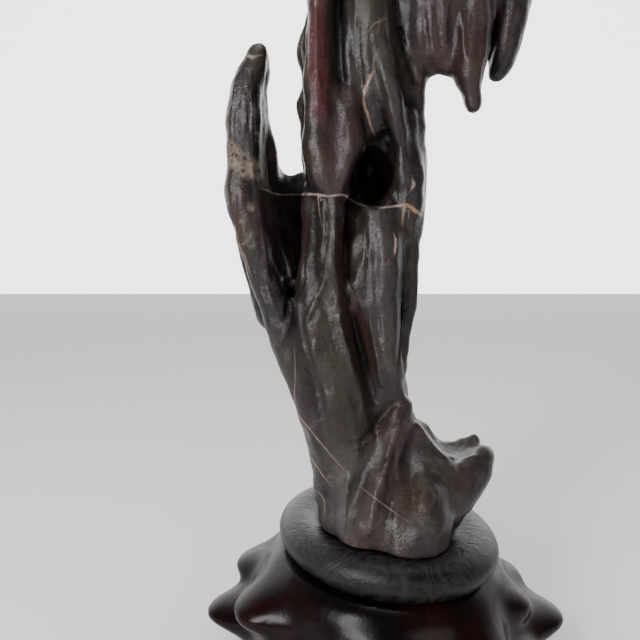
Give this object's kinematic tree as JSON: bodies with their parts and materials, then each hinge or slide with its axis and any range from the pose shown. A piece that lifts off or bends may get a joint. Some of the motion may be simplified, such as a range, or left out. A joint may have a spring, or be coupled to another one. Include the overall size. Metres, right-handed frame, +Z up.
{
  "type": "scholars rock",
  "caption": "Tall weathered display stone with a side arm, an overhanging wing and deep hollows, seated in an oval wooden ring on a knobbed round wooden base.",
  "frame": {"origin": "centre of the base's underside, on the table under the middle of the seat ring", "axes": "+Z up along the stone's height, -Y towards the viewer, +X to the viewer's right, where the wing overhangs"},
  "size_m": [0.193, 0.184, 0.4386],
  "materials": {
    "dark_stone": "waxed, satin gloss",
    "charcoal_wood": "satin",
    "oxblood_wood": "polished lacquer"
  },
  "bodies": {
    "root": {"rock": "dark_stone", "seat_ring": "charcoal_wood", "stand_base": "oxblood_wood"}
  },
  "joints": []
}
